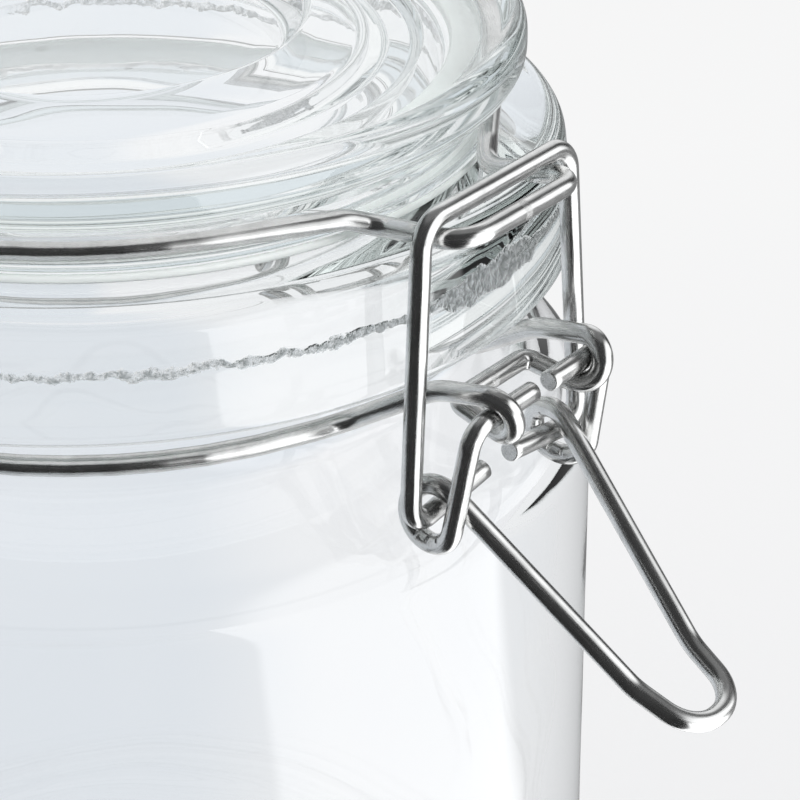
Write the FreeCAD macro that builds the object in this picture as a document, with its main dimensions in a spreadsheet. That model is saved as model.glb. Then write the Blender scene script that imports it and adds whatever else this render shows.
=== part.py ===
import FreeCAD, Part
import math
import os

import Sketcher
from FreeCAD import Placement, Rotation, Vector

# Clip-top jar: a glass jar, a pressed glass lid on a clear seal, and a closure bent from four steel wires.
# The origin is on the jar's axis where it stands, +Z is up and the closure faces -Y.

doc = FreeCAD.newDocument("ClipTopJar")

# ---------------------------------------------------------------- sizes, in millimetres
SIZES = [
    # glass jar
    ("body_radius", 60.0),            # outside of the jar's body
    ("wall", 4.0),                    # glass of the body's side
    ("base_thickness", 6.0),
    ("heel_round", 7.0),              # outer round between side and base
    ("foot_radius", 46.0),            # inner edge of the ring that the jar stands on
    ("punt_radius", 42.0),            # flat of the pushed-up base
    ("punt_depth", 1.6),
    ("neck_wire_height", 114.0),      # centre of the neck groove above the base
    ("shoulder_drop", 12.5),          # from the groove's centre down to the body's corner
    ("shoulder_round", 9.0),
    ("neck_radius", 46.0),            # glass in the neck groove
    ("neck_half_height", 2.6),        # half the groove's straight part
    ("mouth_radius", 42.0),
    ("band_bottom_rise", 7.6),        # from the groove's centre up to the finish band
    ("band_bottom_radius", 57.4),
    ("band_top_radius", 56.0),
    ("rim_rise", 22.2),               # from the groove's centre up to the rim
    ("band_top_round", 3.0),
    ("band_bottom_round", 1.4),
    # seal
    ("seal_thickness", 1.2),
    ("seal_width", 5.6),
    ("seal_inset", 0.6),              # seal's bore outside the mouth
    # glass lid
    ("lid_ledge_radius", 48.3),       # thin flange under the lid's wire
    ("lid_ledge", 1.3),
    ("lid_groove_radius", 46.1),      # glass in the lid's wire groove
    ("lid_radius", 51.5),             # widest part of the lid
    ("lid_height", 12.2),             # from the seal to the lid's top
    ("lid_side_rise", 6.9),           # from the seal to the foot of the lid's upright side
    ("lid_top_round", 3.2),
    ("lid_plateau_fall", 0.7),        # how far the top dips from its edge to the recess
    ("recess_radius", 25.6),
    ("recess_floor_radius", 23.2),
    ("recess_depth", 3.3),
    ("lid_thickness", 5.4),           # glass under the recess
    ("plug_radius", 39.4),
    ("plug_width", 4.4),
    ("plug_depth", 3.6),
    # wires
    ("wire_diameter", 2.4),
    ("ring_clearance", 0.2),          # between a ring wire and the glass of its groove
    ("tight_bend", 2.7),              # centreline radius of a square bend
    ("easy_bend", 4.5),
    # neck wire
    ("eye_clearance", 0.12),          # between an eye and the pin that it holds
    ("eye_half_span", 8.4),           # middle of each eye from the plane of symmetry
    ("eye_pitch", 2.6),               # sideways advance of one turn
    ("pivot_reach", 65.1),            # lever pivot from the jar's axis
    ("pivot_rise", 5.5),              # lever pivot above the neck groove
    ("eye_start", -128.0),            # degrees round the pin, 0 outward and 90 up
    ("eye_end", 102.0),
    ("bridge_gap", 6.7),              # from the pivot in to the bridge between the eyes
    ("bridge_fall", 1.1),
    ("bridge_inset", 0.4),            # bridge's corner inside the eye's first side
    ("bridge_bend", 1.6),
    ("climb_gap", 7.2),               # from the pivot in to the top of the climb
    ("climb_rise", 1.386),            # top of the climb above the pivot
    ("climb_bend", 9.0),
    ("climb_foot_side", 1.4),         # foot of the climb beside the ring, outside it and above it
    ("climb_foot_out", 1.2),
    ("climb_foot_rise", 0.2),
    ("neck_leave_angle", 16.0),       # where the ring leaves the glass, from the front
    # lid wire
    ("hook_reach", 62.5),             # hook's bar from the jar's axis
    ("hook_half_width", 10.8),        # at the hook's bar
    ("hook_root_half_width", 9.9),    # where the arms start, beside the glass
    ("hook_root_drop", 1.4),          # below the ring
    ("hook_bar_rise", 0.2),           # above the ring
    ("hook_bend", 3.6),
    ("hook_root_bend", 3.24),
    ("hook_level_run", 3.4),          # half width over which the ring stays level, clear of the lid's ledge
    ("hook_leave_angle", 33.5),       # where the ring leaves the glass, from the front
    ("hinge_leave_angle", 39.0),      # and from the rear
    ("hinge_reach", 65.2),            # rear hinge bar from the jar's axis
    ("hinge_half_width", 12.7),
    # bail
    ("bail_top_half_width", 13.6),
    ("bail_foot_half_width", 16.3),
    ("bail_bend", 3.4),               # centreline radius of the crossbar's corners
    ("bail_setback", 3.7),            # crossbar behind the hook's bar
    ("moving_gap", 0.3),              # between the bail and what it bears on
    ("bail_pin_end", 2.5),            # cut end of each pin from the plane of symmetry
    ("bail_pin_rise", 1.7),           # upward slant of each pin over its length
    # lever
    ("coil_radius", 2.8),             # centreline of the coil where it bears on the bail's pin
    ("bottom_radius", 3.8),           # and where it opens out into the crank
    ("coil_clearance", 0.1),          # between the leg and the crank, side by side
    ("coil_in", 5.8),                 # coil centre, inward from the pivot
    ("coil_drop", 12.3),              # coil centre, below the pivot
    ("crank_half_width", 13.5),
    ("elbow_half_width", 12.6),       # crank's elbow, drawn in so that the bail swings past it
    ("crank_lean", 13.5),             # degrees from upright
    ("lever_pin_end", 1.5),
    ("handle_slope", 42.6),           # degrees below level
    ("handle_length", 28.9),          # coil to the crimp
    ("handle_crimp_half_width", 5.9),
    ("handle_crimp_bend", 9.0),
    ("tip_slope", 27.0),
    ("tip_length", 8.2),
    ("tip_round", 5.2),
]

sheet = doc.addObject("Spreadsheet::Sheet", "Sizes")
for row, (name, value) in enumerate(SIZES, start=1):
    sheet.set("A%d" % row, name)
    sheet.set("B%d" % row, str(value))
    sheet.setAlias("B%d" % row, name)
doc.recompute()


def size(name):
    """The number in the sheet's cell of this name."""
    return float(getattr(sheet, name))


# ---------------------------------------------------------------- turned pieces
def origin_part(body, role):
    """The plane or axis of a body's own origin that plays this role."""
    return next(item for item in body.Origin.OriginFeatures if item.Role == role)


def turned_body(label, corners, rounds):
    """A body turned round Z from its half section, with some of its corners rounded.

    corners: (name, radius expression, height expression), in order round the section.
    rounds: (corner name, radius expression).
    """
    body = doc.addObject("PartDesign::Body", label)
    body.Label = label
    sketch = body.newObject("Sketcher::SketchObject", label + "_section")
    sketch.AttachmentSupport = (origin_part(body, "XZ_Plane"), [""])
    sketch.MapMode = "FlatFace"

    count = len(corners)
    start = [Vector(float(sheet.evalExpression(radius)), float(sheet.evalExpression(height)), 0)
             for _, radius, height in corners]
    for i in range(count):
        sketch.addGeometry(Part.LineSegment(start[i], start[(i + 1) % count]), False)
    for i in range(count):
        sketch.addConstraint(Sketcher.Constraint("Coincident", i, 2, (i + 1) % count, 1))
    for i, (name, radius, height) in enumerate(corners):
        across = sketch.addConstraint(Sketcher.Constraint("DistanceX", -1, 1, i, 1, start[i].x))
        up = sketch.addConstraint(Sketcher.Constraint("DistanceY", -1, 1, i, 1, start[i].y))
        sketch.renameConstraint(across, name + "_radius")
        sketch.renameConstraint(up, name + "_height")
        sketch.setExpression("Constraints.%s_radius" % name, radius)
        sketch.setExpression("Constraints.%s_height" % name, height)
    doc.recompute()

    turn = body.newObject("PartDesign::Revolution", label + "_turned")
    turn.Profile = sketch
    turn.ReferenceAxis = (sketch, ["V_Axis"])
    turn.Angle = 360
    doc.recompute()

    places = {name: sketch.Geometry[i].StartPoint for i, (name, _, _) in enumerate(corners)}
    last = turn
    for name, radius in rounds:
        fillet = body.newObject("PartDesign::Fillet", "%s_%s_round" % (label, name))
        fillet.Base = (last, [ring_edge(last.Shape, places[name])])
        fillet.setExpression("Radius", radius)
        doc.recompute()
        last = fillet
    return body


def ring_edge(shape, corner):
    """Name of the circular edge at this radius (corner.x) and height (corner.y)."""
    for number, edge in enumerate(shape.Edges, start=1):
        curve = edge.Curve
        if isinstance(curve, Part.Circle):
            if abs(curve.Radius - corner.x) < 0.01 and abs(curve.Center.z - corner.y) < 0.01:
                return "Edge%d" % number
    raise ValueError("no edge at radius %.2f, height %.2f" % (corner.x, corner.y))


def S(text):
    """An expression in which every {name} is a cell of the sheet."""
    return text.replace("{", "Sizes.").replace("}", "")


RIM = "({neck_wire_height} + {rim_rise})"
SEAT = "({neck_wire_height} + {rim_rise} + {seal_thickness})"
GROOVE_FLOOR = "(%s + {lid_ledge})" % SEAT
WIRE_PLANE = "(%s + {ring_clearance} / 2 + {wire_diameter} / 2)" % GROOVE_FLOOR
GROOVE_ROOF = "(%s + {wire_diameter} + {ring_clearance} * 1.5)" % GROOVE_FLOOR
LID_TOP = "(%s + {lid_height})" % SEAT
PLATEAU = "(%s - {lid_plateau_fall})" % LID_TOP
RECESS_FLOOR = "(%s - {recess_depth})" % PLATEAU
UNDERSIDE = "(%s - {lid_thickness})" % RECESS_FLOOR

jar_corners = [
    ("punt_centre", "0", "{punt_depth}"),
    ("punt_edge", "{punt_radius}", "{punt_depth}"),
    ("foot_inner", "{foot_radius}", "0"),
    ("heel", "{body_radius}", "0"),
    ("shoulder", "{body_radius}", "{neck_wire_height} - {shoulder_drop}"),
    ("neck_low", "{neck_radius}", "{neck_wire_height} - {neck_half_height}"),
    ("neck_high", "{neck_radius}", "{neck_wire_height} + {neck_half_height}"),
    ("band_bottom", "{band_bottom_radius}", "{neck_wire_height} + {band_bottom_rise}"),
    ("band_top", "{band_top_radius}", RIM),
    ("mouth", "{mouth_radius}", RIM),
    ("throat", "{mouth_radius}", "{neck_wire_height} - {neck_half_height} + {wall} * 0.2"),
    ("shoulder_inner", "{body_radius} - {wall}", "{neck_wire_height} - {shoulder_drop} - {wall} * 0.6"),
    ("floor_edge", "{body_radius} - {wall}", "{base_thickness}"),
    ("floor_centre", "0", "{base_thickness}"),
]
jar_rounds = [
    ("heel", "{heel_round}"),
    ("shoulder", "{shoulder_round}"),
    ("neck_low", "{shoulder_round} / 2"),
    ("neck_high", "{wire_diameter} * 0.6"),
    ("band_bottom", "{band_bottom_round}"),
    ("band_top", "{band_top_round}"),
    ("mouth", "{band_bottom_round}"),
    ("throat", "{shoulder_round} / 2"),
    ("shoulder_inner", "{shoulder_round} - {wall}"),
    ("floor_edge", "{heel_round}"),
]
lid_corners = [
    ("under_centre", "0", UNDERSIDE),
    ("under_edge", "{plug_radius} - {plug_width} - {plug_width} / 2", UNDERSIDE),
    ("plug_inner", "{plug_radius} - {plug_width}", SEAT + " - {plug_depth}"),
    ("plug_outer", "{plug_radius} - {plug_width} / 6", SEAT + " - {plug_depth}"),
    ("plug_root", "{plug_radius}", SEAT),
    ("ledge_low", "{lid_ledge_radius}", SEAT),
    ("ledge_high", "{lid_ledge_radius}", GROOVE_FLOOR),
    ("groove_low", "{lid_groove_radius}", GROOVE_FLOOR),
    ("groove_high", "{lid_groove_radius}", GROOVE_ROOF),
    ("side_under", "{lid_groove_radius} + {wire_diameter}", GROOVE_ROOF),
    ("side_low", "{lid_radius}", SEAT + " + {lid_side_rise}"),
    ("side_high", "{lid_radius}", LID_TOP),
    ("recess_edge", "{recess_radius}", PLATEAU),
    ("recess_foot", "{recess_floor_radius}", RECESS_FLOOR),
    ("recess_centre", "0", RECESS_FLOOR),
]
lid_rounds = [
    ("under_edge", "{plug_depth} / 2"),
    ("plug_inner", "{plug_width} / 5"),
    ("plug_outer", "{plug_width} / 5"),
    ("ledge_low", "{lid_ledge} * 0.35"),
    ("ledge_high", "{lid_ledge} * 0.35"),
    ("side_under", "{wire_diameter} * 0.4"),
    ("side_low", "{lid_top_round}"),
    ("side_high", "{lid_top_round}"),
    ("recess_edge", "{recess_depth} * 0.45"),
    ("recess_foot", "{recess_depth} * 0.45"),
]
seal_corners = [
    ("inner_low", "{mouth_radius} + {seal_inset}", RIM),
    ("outer_low", "{mouth_radius} + {seal_inset} + {seal_width}", RIM),
    ("outer_high", "{mouth_radius} + {seal_inset} + {seal_width}", SEAT),
    ("inner_high", "{mouth_radius} + {seal_inset}", SEAT),
]
seal_rounds = [("outer_low", "{seal_thickness} / 3"), ("outer_high", "{seal_thickness} / 3")]


def bound(rows):
    """The same rows with their expressions written for the sheet."""
    return [(row[0],) + tuple(S(text) for text in row[1:]) for row in rows]


glass_nodes = [
    turned_body("jar_glass", bound(jar_corners), bound(jar_rounds)),
    turned_body("lid_glass", bound(lid_corners), bound(lid_rounds)),
    turned_body("seal_ring", bound(seal_corners), bound(seal_rounds)),
]


# ---------------------------------------------------------------- bent wires
def bent_path(points, bends):
    """Straight runs through the points, with a tangent arc at each inner point.

    bends: centreline radius at each point. An arc may use all of the path's first or last run and half of
    any other; None takes the largest that fits.
    """
    edges = []
    run_start = points[0]
    for i in range(1, len(points) - 1):
        into = points[i] - points[i - 1]
        out = points[i + 1] - points[i]
        turn = into.getAngle(out)
        room = min(into.Length if i == 1 else into.Length / 2,
                   out.Length if i == len(points) - 2 else out.Length / 2)
        trim = room if bends[i] is None else min(bends[i] * math.tan(turn / 2), room)
        into.normalize()
        out.normalize()
        first = points[i] - into * trim
        last = points[i] + out * trim
        radius = trim / math.tan(turn / 2)
        inward = (out - into).normalize()
        middle = points[i] + inward * (radius / math.cos(turn / 2) - radius)
        if (first - run_start).Length > 1e-4:
            edges.append(Part.LineSegment(run_start, first).toShape())
        edges.append(Part.Arc(first, middle, last).toShape())
        run_start = last
    if (points[-1] - run_start).Length > 1e-4:
        edges.append(Part.LineSegment(run_start, points[-1]).toShape())
    return Part.Wire(edges)


def coil_points(centre, radii, angles, sides, steps):
    """Corners of a polygon whose rounded form is a turn of wire round a line along X.

    centre: the line's Y and Z; radii, angles and sides (X): at the first and the last corner;
    angles are in degrees, 0 outward and 90 up.
    """
    first, last = angles
    step = (last - first) / steps
    points = []
    for i in range(steps):
        share = (i + 0.5) / steps
        angle = math.radians(first + (last - first) * share)
        reach = (radii[0] + (radii[1] - radii[0]) * share) / math.cos(math.radians(step / 2))
        points.append(Vector(sides[0] + (sides[1] - sides[0]) * share,
                             centre[0] - reach * math.cos(angle),
                             centre[1] + reach * math.sin(angle)))
    return points


def wire_node(label, points, bends):
    """A symmetric wire: one half swept along its path from the plane X = 0, mirrored and joined."""
    path = doc.addObject("Part::Feature", label + "_path")
    path.Shape = bent_path(points, bends)
    section = doc.addObject("Part::Circle", label + "_section")
    section.setExpression("Radius", "Sizes.wire_diameter / 2")
    section.Placement = Placement(points[0], Rotation(Vector(0, 0, 1), points[1] - points[0]))
    half = doc.addObject("Part::Sweep", label + "_half")
    half.Sections = [section]
    half.Spine = (path, ["Edge%d" % (i + 1) for i in range(len(path.Shape.Edges))])
    half.Solid = True
    half.Frenet = False
    other = doc.addObject("Part::Mirroring", label + "_other_half")
    other.Source = half
    other.Normal = Vector(1, 0, 0)
    whole = doc.addObject("Part::Fuse", label)
    whole.Base = half
    whole.Tool = other
    whole.Label = label
    doc.recompute()
    length = 2 * path.Shape.Length
    section_area = math.pi * size("wire_diameter") ** 2 / 4
    print("%s: length %.1f, volume %.1f, section times length %.1f"
          % (label, length, whole.Shape.Volume, length * section_area))
    return whole


def ring_arc(radius, height, first, last, steps):
    """Corners of a polygon whose rounded form is an arc of a level ring; angles from -Y towards +X."""
    step = (last - first) / steps
    reach = radius / math.cos(math.radians(step / 2))
    points = []
    for i in range(steps):
        angle = math.radians(first + (last - first) * (i + 0.5) / steps)
        points.append(Vector(reach * math.sin(angle), -reach * math.cos(angle), height))
    return points


# Corners in each turned part of a wire, which set how finely its polygon follows the circle.
EYE_STEPS = 6
COIL_STEPS = 9
NECK_RING_STEPS = 12
LID_RING_STEPS = 10

wire = size("wire_diameter")
tight = size("tight_bend")
easy = size("easy_bend")
neck_height = size("neck_wire_height")
neck_ring = size("neck_radius") + size("ring_clearance") + wire / 2
lid_ring = size("lid_groove_radius") + size("ring_clearance") + wire / 2
lid_wire_height = (neck_height + size("rim_rise") + size("seal_thickness") + size("lid_ledge")
                   + size("ring_clearance") / 2 + wire / 2)
pivot_y = -size("pivot_reach")
pivot_z = neck_height + size("pivot_rise")
eye_radius = wire + size("eye_clearance")
eye_outer = size("eye_half_span") + size("eye_pitch") / 2
eye_inner = size("eye_half_span") - size("eye_pitch") / 2


def eye_run(reach, behind=False):
    """Neck wire from its bridge, round one eye and in to the ring, in front or behind.

    The wire climbs out from the ring over the pin, turns down round it, comes up a little
    behind it and runs across to the other eye.
    """
    bridge = Vector(eye_inner - size("bridge_inset"), -(reach - size("bridge_gap")),
                    pivot_z - size("bridge_fall"))
    turn = coil_points((-reach, pivot_z), (eye_radius, eye_radius), (size("eye_start"), size("eye_end")),
                       (eye_inner, eye_outer), EYE_STEPS)
    leave_angle = math.radians(size("neck_leave_angle"))
    climb = [
        Vector(eye_outer, -(reach - size("climb_gap")), pivot_z + size("climb_rise")),
        Vector(neck_ring * math.sin(leave_angle) - size("climb_foot_side"),
               -neck_ring * math.cos(leave_angle) - size("climb_foot_out"),
               neck_height + size("climb_foot_rise")),
    ]
    points = [Vector(0, bridge.y, bridge.z), bridge] + turn + climb
    bends = [None, size("bridge_bend")] + [None] * len(turn) + [size("climb_bend"), easy]
    if behind:
        points = [Vector(p.x, -p.y, p.z) for p in points]
    return points, bends


# Neck wire: bridge, eye, ring and, behind, the same again round the hinge bar.
front, front_bends = eye_run(size("pivot_reach"))
rear, rear_bends = eye_run(size("hinge_reach"), behind=True)
leave = size("neck_leave_angle")
ring = ring_arc(neck_ring, neck_height, leave, 180 - leave, NECK_RING_STEPS)
neck_wire = wire_node("neck_wire", front + ring + rear[::-1],
                      front_bends + [None] * len(ring) + rear_bends[::-1])

# Lid wire: hook in front, ring under the lid's edge, and the hinge bar behind and below.
hinge_x = size("hinge_half_width")


def straight_off_ring(leave_angle, half_width):
    """Y at which the straight run off the lid's ring comes to this half width."""
    lean = math.radians(leave_angle)
    return (lid_ring - half_width * math.sin(lean)) / math.cos(lean)


root_x = size("hook_root_half_width")
root_y = -straight_off_ring(size("hook_leave_angle"), root_x)
level_x = root_x + size("hook_level_run")
arm_rise = size("hook_root_drop") + size("hook_bar_rise")
hook = [Vector(0, -size("hook_reach"), lid_wire_height + size("hook_bar_rise")),
        Vector(size("hook_half_width"), -size("hook_reach"), lid_wire_height + size("hook_bar_rise")),
        Vector(root_x, root_y, lid_wire_height - size("hook_root_drop")),
        Vector(level_x, -straight_off_ring(size("hook_leave_angle"), level_x), lid_wire_height)]
ring = ring_arc(lid_ring, lid_wire_height, size("hook_leave_angle"), 180 - size("hinge_leave_angle"),
                LID_RING_STEPS)
hinge = [Vector(hinge_x, straight_off_ring(size("hinge_leave_angle"), hinge_x), lid_wire_height),
         Vector(hinge_x, size("hinge_reach"), lid_wire_height),
         Vector(hinge_x, size("hinge_reach"), pivot_z),
         Vector(0, size("hinge_reach"), pivot_z)]
lid_wire = wire_node("lid_wire", hook + ring + hinge,
                     [None, size("hook_bend"), size("hook_root_bend"), easy] + [None] * len(ring)
                     + [easy, tight, tight, None])

# Lever: handle tip, leg, coil round the bail's pin, crank and pin through the neck wire's eye.
coil_y = pivot_y + size("coil_in")
coil_z = pivot_z - size("coil_drop")
slope = math.radians(size("handle_slope"))
tip_slope = math.radians(size("tip_slope"))
lean = size("crank_lean")
coil_radius = size("coil_radius")
crank_x = size("crank_half_width")
leg_x = crank_x - wire - size("coil_clearance")
leave_y = coil_y - coil_radius * math.sin(slope)
leave_z = coil_z + coil_radius * math.cos(slope)
crimp = Vector(size("handle_crimp_half_width"),
               leave_y - size("handle_length") * math.cos(slope),
               leave_z - size("handle_length") * math.sin(slope))
tip_y = crimp.y - size("tip_length") * math.cos(tip_slope)
tip_z = crimp.z - size("tip_length") * math.sin(tip_slope)
narrowing = (leg_x - crimp.x) / size("handle_length")
tip_corner = Vector(crimp.x - narrowing * size("tip_length"), tip_y, tip_z)
coil = coil_points((coil_y, coil_z), (coil_radius, size("bottom_radius")),
                   (90 - size("handle_slope"), 360 - lean), (leg_x, crank_x), COIL_STEPS)
crank_top = Vector(size("elbow_half_width"), pivot_y, pivot_z)
lever = wire_node("lever",
                  [Vector(0, tip_y, tip_z), tip_corner, crimp] + coil
                  + [crank_top, Vector(size("lever_pin_end"), pivot_y, pivot_z)],
                  [None, size("tip_round"), size("handle_crimp_bend")] + [None] * len(coil) + [tight, None])

# Bail: crossbar over the hook, leg outside the crank, and a pin in through the lever's coil.
pin_y = coil_y
pin_z = coil_z + coil_radius - wire - size("moving_gap")
crossbar_y = -size("hook_reach") + size("bail_setback")
arm_share = (crossbar_y - root_y) / (-size("hook_reach") - root_y)
arm_z = lid_wire_height - size("hook_root_drop") + arm_rise * arm_share
crossbar_z = arm_z + wire + size("moving_gap")
foot_x = size("bail_foot_half_width")
pin_run = foot_x - size("bail_pin_end")
foot_z = pin_z - size("bail_pin_rise") * (foot_x - leg_x) / pin_run
bail = wire_node("bail",
                 [Vector(0, crossbar_y, crossbar_z),
                  Vector(size("bail_top_half_width"), crossbar_y, crossbar_z),
                  Vector(foot_x, pin_y, foot_z),
                  Vector(size("bail_pin_end"), pin_y, foot_z + size("bail_pin_rise"))],
                 [None, size("bail_bend"), tight, None])

# ---------------------------------------------------------------- check and write
nodes = glass_nodes + [neck_wire, lid_wire, lever, bail]
doc.recompute()
for item in doc.Objects:
    if "Invalid" in item.State or "Error" in item.State:
        raise RuntimeError("%s did not compute: %s" % (item.Label, item.State))
os.makedirs("parts", exist_ok=True)
for node in nodes:
    shape = node.Shape
    if shape.isNull() or not shape.isValid() or len(shape.Solids) != 1:
        raise RuntimeError("%s is not one valid solid" % node.Label)
    shape.exportStep("parts/%s.step" % node.Label)
    box = shape.BoundBox
    print("%s: volume %.0f, x %.1f..%.1f, y %.1f..%.1f, z %.1f..%.1f"
          % (node.Label, shape.Volume, box.XMin, box.XMax, box.YMin, box.YMax, box.ZMin, box.ZMax))
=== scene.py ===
# %% [markdown]
# # A clip-top jar: clear pressed glass and bright drawn wire
#
# The frame is the jar as it was engineered, in metres: +Z up, the clasp on the -Y side, and the jar's axis on Z.
# Everything below is built round it. First come the measurements that the frame already holds.

import math

import bpy
import numpy as np
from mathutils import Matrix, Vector


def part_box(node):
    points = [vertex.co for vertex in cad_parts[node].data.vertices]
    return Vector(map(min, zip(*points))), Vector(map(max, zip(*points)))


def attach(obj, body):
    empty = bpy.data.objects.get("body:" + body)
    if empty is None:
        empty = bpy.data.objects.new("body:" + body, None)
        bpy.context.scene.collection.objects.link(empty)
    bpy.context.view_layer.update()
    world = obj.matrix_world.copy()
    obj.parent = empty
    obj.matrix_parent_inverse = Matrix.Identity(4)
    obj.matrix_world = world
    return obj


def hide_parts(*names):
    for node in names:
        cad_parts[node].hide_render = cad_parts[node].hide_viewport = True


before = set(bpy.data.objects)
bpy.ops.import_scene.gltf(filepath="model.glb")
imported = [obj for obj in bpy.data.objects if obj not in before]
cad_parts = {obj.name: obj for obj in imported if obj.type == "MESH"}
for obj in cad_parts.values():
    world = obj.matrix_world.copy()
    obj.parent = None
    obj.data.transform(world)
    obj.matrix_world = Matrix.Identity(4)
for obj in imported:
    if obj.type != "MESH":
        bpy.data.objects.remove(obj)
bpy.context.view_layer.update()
mm = 0.001

jar_high, lid_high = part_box("jar_glass")[1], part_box("lid_glass")[1]
seal_low, seal_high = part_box("seal_ring")
body_radius = jar_high[0]
rim = jar_high[2]
seat = seal_high[2]
lid_top = lid_high[2]
print("body radius %.1f mm, rim at %.1f mm, lid top at %.1f mm" % (body_radius / mm, rim / mm, lid_top / mm))

# %% [markdown]
# ## A line with rounded corners
#
# Both the half section of a glass and the middle of a bent wire are straight runs joined by arcs. They could be
# curve objects, but then their points couldn't be waved, ribbed or measured. One function makes either, because
# the sums are the same in two dimensions and in three.

# %% Straight runs and tangent arcs
ARC_STEP = math.radians(7)
SAME_POINT = 1e-7


def bent_line(corners, radii, step):
    """Samples a line through corners, rounded at each inner one.

    With unit directions a before and b after a corner P, which turn by t, an arc of radius R starts at
    S = P - a R tan(t/2), and its points are S + R (a sin f + n (1 - cos f)) for f from 0 to t, where n is
    the part of b square to a. A radius of None takes half of the shorter run. An arc may use all of the
    first or last run and half of any other.
    """
    corners = np.asarray(corners, float)
    pieces = [corners[:1]]
    runs = np.linalg.norm(np.diff(corners, axis=0), axis=1)
    free = runs * np.concatenate([[1.0], np.full(len(runs) - 2, 0.5), [1.0]])
    for k, (before, corner, after, radius) in enumerate(zip(corners, corners[1:], corners[2:], radii[1:])):
        room = 0.5 * min(runs[k], runs[k + 1]) if radius is None else min(free[k], free[k + 1])
        a, b = (corner - before) / runs[k], (after - corner) / runs[k + 1]
        turn = math.acos(np.clip(a @ b, -1, 1))
        trim = room if radius is None else min(radius * math.tan(turn / 2), room)
        bend = trim / math.tan(turn / 2)
        n = (b - a * math.cos(turn)) / math.sin(turn)
        f = np.linspace(0, turn, 2 + int(turn / ARC_STEP))[:, None]
        pieces.append(corner - a * trim + bend * (a * np.sin(f) + n * (1 - np.cos(f))))
    pieces.append(corners[-1:])
    joined = np.concatenate(pieces)
    joined = joined[np.append(True, np.linalg.norm(np.diff(joined, axis=0), axis=1) > SAME_POINT)]
    length = np.append(0, np.cumsum(np.linalg.norm(np.diff(joined, axis=0), axis=1)))
    extra = np.linspace(0, length[-1], 2 + int(length[-1] / step))[1:-1]
    nearest = np.abs(extra[:, None] - length[None, :]).min(axis=1)
    along = np.sort(np.concatenate([length, extra[nearest > step / 3]]))
    return np.stack([np.interp(along, length, joined[:, k]) for k in range(joined.shape[1])], axis=1)


# %% [markdown]
# ## One skin for every piece
#
# A turned glass and a round wire are both rows of rings. So one function makes each mesh: it joins neighbouring
# rings with four-sided faces and closes the ends with fans, all as whole arrays.

# %% Rings of points made into one closed skin
def skin(name, rings, loop=False, start=None, end=None):
    """A mesh over rings (stations, points round, xyz): each four neighbours make a face.

    loop joins the last ring to the first. start and end are points that close the two ends with a fan.
    Faces point outwards: the volume, a sum over faces of p0 . (p1 x p2) and its like, is made positive.
    """
    stations, around, _ = rings.shape
    index = np.arange(stations * around).reshape(stations, around)
    rows = np.vstack([index, index[:1]]) if loop else index
    nxt = np.roll(rows, -1, axis=1)
    quads = np.stack([rows[:-1], nxt[:-1], nxt[1:], rows[1:]], axis=-1).reshape(-1, 4)
    points = rings.reshape(-1, 3)
    fans = []
    for tip, row, flip in ((start, index[0], False), (end, index[-1], True)):
        if tip is not None:
            fan = np.stack([np.full(around, len(points)), np.roll(row, -1), row], axis=-1)
            fans += (fan[:, ::-1] if flip else fan).tolist()
            points = np.vstack([points, [tip]])
    p = points[quads]
    volume = np.einsum("ij,ij->", p[:, 0], np.cross(p[:, 1], p[:, 2]) + np.cross(p[:, 2], p[:, 3]))
    faces = quads.tolist() + fans
    if volume < 0:
        faces = [face[::-1] for face in faces]
    mesh = bpy.data.meshes.new(name)
    mesh.from_pydata(points.tolist(), [], faces)
    mesh.shade_smooth()
    piece = bpy.data.objects.new(name, mesh)
    bpy.context.scene.collection.objects.link(piece)
    print("%s: %d faces" % (name, len(faces)))
    return piece


# %% [markdown]
# ## Glass turned on the jar's axis
#
# The jar is blown in a mould, so its outside is true and its inside wavy; the lid is pressed, so both of its
# faces are true but slightly rippled. A lathe-like surface gives the form, and the waves are added to the radius.
# They matter more than they measure: they're what draws the streaks seen through clear glass.

# %% The wave in glass and the turned surface
WAVE_COUNTS = (2, 3, 5, 7, 11, 17)
WAVE_PITCHES = (60, 320)
WAVE_SUM = 3.2


def wave(angle, height, seed):
    """A slow unevenness from about -1 to 1: a sum of cosines whose counts round the glass are whole numbers,
    so that it closes on itself, each weaker by the root of its count."""
    rng = np.random.default_rng(seed)
    total = 0.0
    for count in WAVE_COUNTS:
        pitch = rng.uniform(*WAVE_PITCHES) * rng.choice([-1, 1])
        total = total + np.cos(count * angle + pitch * height + rng.uniform(0, 6.3)) / count ** 0.5
    return total / WAVE_SUM


def turned(profile, around, depth, seed):
    """Rings of a surface of revolution: (r, z) at angle a goes to (r' sin a, -r' cos a, z),
    with r' = r + depth(r, z) x wave(a, z)."""
    angle = np.linspace(0, 2 * np.pi, around, endpoint=False)[None, :]
    r, z = profile[:, :1], profile[:, 1:]
    reach = r + depth(r, z) * wave(angle, z, seed)
    return np.stack([reach * np.sin(angle), -reach * np.cos(angle), z + 0 * angle], axis=-1)


def near_axis(r):
    """0 on the axis to 1 from 20 mm out, because a wave there would push the radius below zero."""
    return np.clip(r / (20 * mm), 0, 1)


# %% [markdown]
# ## The jar
#
# From the middle of its pushed-up base the section goes out to the ring it stands on, up the side, over the
# shoulder, into the neck groove, round the thick finish band and the rim, and back down inside. Each corner is
# a radius, a height and its round.

# %% The jar's half section
neck_plane = rim - 22.2 * mm
neck_radius, mouth_radius = 46.0 * mm, 42.0 * mm
wall, base = 4.0 * mm, 6 * mm
groove_half = 2.6 * mm
shoulder = neck_plane - 12.5 * mm
punt_radius, punt_height = 42 * mm, 1.6 * mm
foot_radius = 46 * mm
heel_round, shoulder_round, neck_round = 7 * mm, 9 * mm, 4.5 * mm
band_foot, band_foot_radius, band_foot_round = neck_plane + 7.6 * mm, 57.4 * mm, 1.4 * mm
band_top_radius, band_top_round = 56.0 * mm, 3 * mm

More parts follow.
